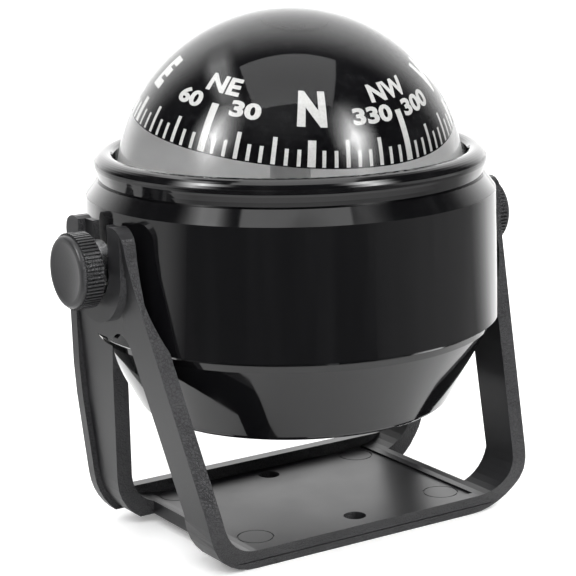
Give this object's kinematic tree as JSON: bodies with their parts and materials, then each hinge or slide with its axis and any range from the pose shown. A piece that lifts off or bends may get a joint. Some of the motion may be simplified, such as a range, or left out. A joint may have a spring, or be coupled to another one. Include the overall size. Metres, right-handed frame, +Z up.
{
  "type": "binnacle compass",
  "caption": "Bracket-mount binnacle compass: round black case with a clear dome over a spinning card, tilting between two arms and clamped by a knurled knob at each side.",
  "frame": {"origin": "on the axis of the round case, at the flat underside of the bracket base", "axes": "+Z up along the case axis, front of the case and of the base towards -Y, knobs at -X and +X"},
  "size_m": [0.0772, 0.0628, 0.078],
  "materials": {
    "bracket_plastic": "satin moulded black plastic with a fine grain",
    "knob_plastic": "satin moulded black plastic, fine ribs",
    "case_plastic": "polished black plastic",
    "clear_dome": "clear polished acrylic",
    "chamber_plastic": "smooth pale grey plastic",
    "post_plastic": "smooth grey plastic",
    "card_black": "gloss black with white print",
    "white_print": "matt white print",
    "rubber": "soft black rubber",
    "stainless": "bright turned stainless steel",
    "brass": "turned brass",
    "magnet": "nickel plated bar magnet",
    "jewel": "polished ruby-coloured bearing jewel"
  },
  "bodies": {
    "mount": {"bracket": "bracket_plastic"},
    "case": {"left_insert": "brass", "right_insert": "brass", "housing_shell": "case_plastic", "bezel_ring": "case_plastic", "dome": "clear_dome", "dome_gasket": "rubber", "chamber_dish": "chamber_plastic", "pivot_post": "post_plastic", "pivot_pin": "stainless", "lubber_tab": "white_print", "diaphragm": "rubber", "diaphragm_ring": "stainless", "ring_screws": "stainless", "filler_plug": "brass", "lower_bowl": "case_plastic", "case_screws": "stainless"},
    "knob_left": {"left_knob": "knob_plastic", "left_stud": "stainless", "left_collar": "stainless"},
    "knob_right": {"right_knob": "knob_plastic", "right_stud": "stainless", "right_collar": "stainless"},
    "lengthwise": {"lengthwise_corrector": "brass", "lengthwise_magnet": "magnet"},
    "crosswise": {"crosswise_corrector": "brass", "crosswise_magnet": "magnet"},
    "card": {"compass_card": "card_black", "card_hub_cap": "card_black", "card_float": "post_plastic", "jewel_cup": "jewel", "card_magnets": "magnet"}
  },
  "joints": [
    {"name": "case_tilt", "type": "hinge", "parent": "mount", "child": "case", "pos_m": [0, 0, 0.0429], "axis": [1, 0, 0], "range_deg": [-30, 60]},
    {"name": "left_knob_turn", "type": "hinge", "parent": "case", "child": "knob_left", "pos_m": [-0.035, 0, 0.0429], "axis": [-1, 0, 0], "range_deg": [-360, 45]},
    {"name": "right_knob_turn", "type": "hinge", "parent": "case", "child": "knob_right", "pos_m": [0.035, 0, 0.0429], "axis": [1, 0, 0], "range_deg": [-360, 45]},
    {"name": "lengthwise_correct", "type": "hinge", "parent": "case", "child": "lengthwise", "pos_m": [0, 0.02, 0.0237], "axis": [0, 1, 0], "range_deg": [-180, 180]},
    {"name": "crosswise_correct", "type": "hinge", "parent": "case", "child": "crosswise", "pos_m": [0.02, 0, 0.0293], "axis": [1, 0, 0], "range_deg": [-180, 180]},
    {"name": "card_spin", "type": "hinge", "parent": "case", "child": "card", "pos_m": [0, 0, 0.0658], "axis": [0.0521, -0.129, 0.9903], "continuous": true}
  ]
}
